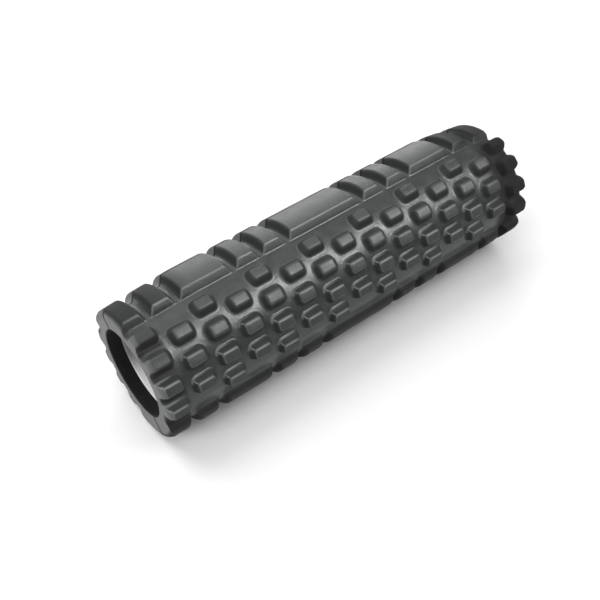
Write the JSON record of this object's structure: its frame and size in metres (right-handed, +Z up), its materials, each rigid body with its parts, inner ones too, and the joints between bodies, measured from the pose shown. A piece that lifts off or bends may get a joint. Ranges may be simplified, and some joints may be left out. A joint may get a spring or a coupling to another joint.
{
  "type": "textured foam massage roller",
  "caption": "Short hollow massage roller: two textured foam half-shells bonded around a stiff core tube that is open right through.",
  "frame": {"origin": "on the surface that the roller rests on, straight below the middle of its axis", "axes": "+X along the roller's axis, +Z up, -Y towards the front foam half"},
  "size_m": [0.26, 0.0796, 0.0793],
  "materials": {
    "foam": "moulded charcoal EVA foam, closed skin with a soft satin sheen",
    "tube": "extruded pale grey plastic tube, satin"
  },
  "bodies": {
    "root": {"front_foam_half": "foam", "back_foam_half": "foam", "core_tube": "tube"}
  },
  "joints": []
}
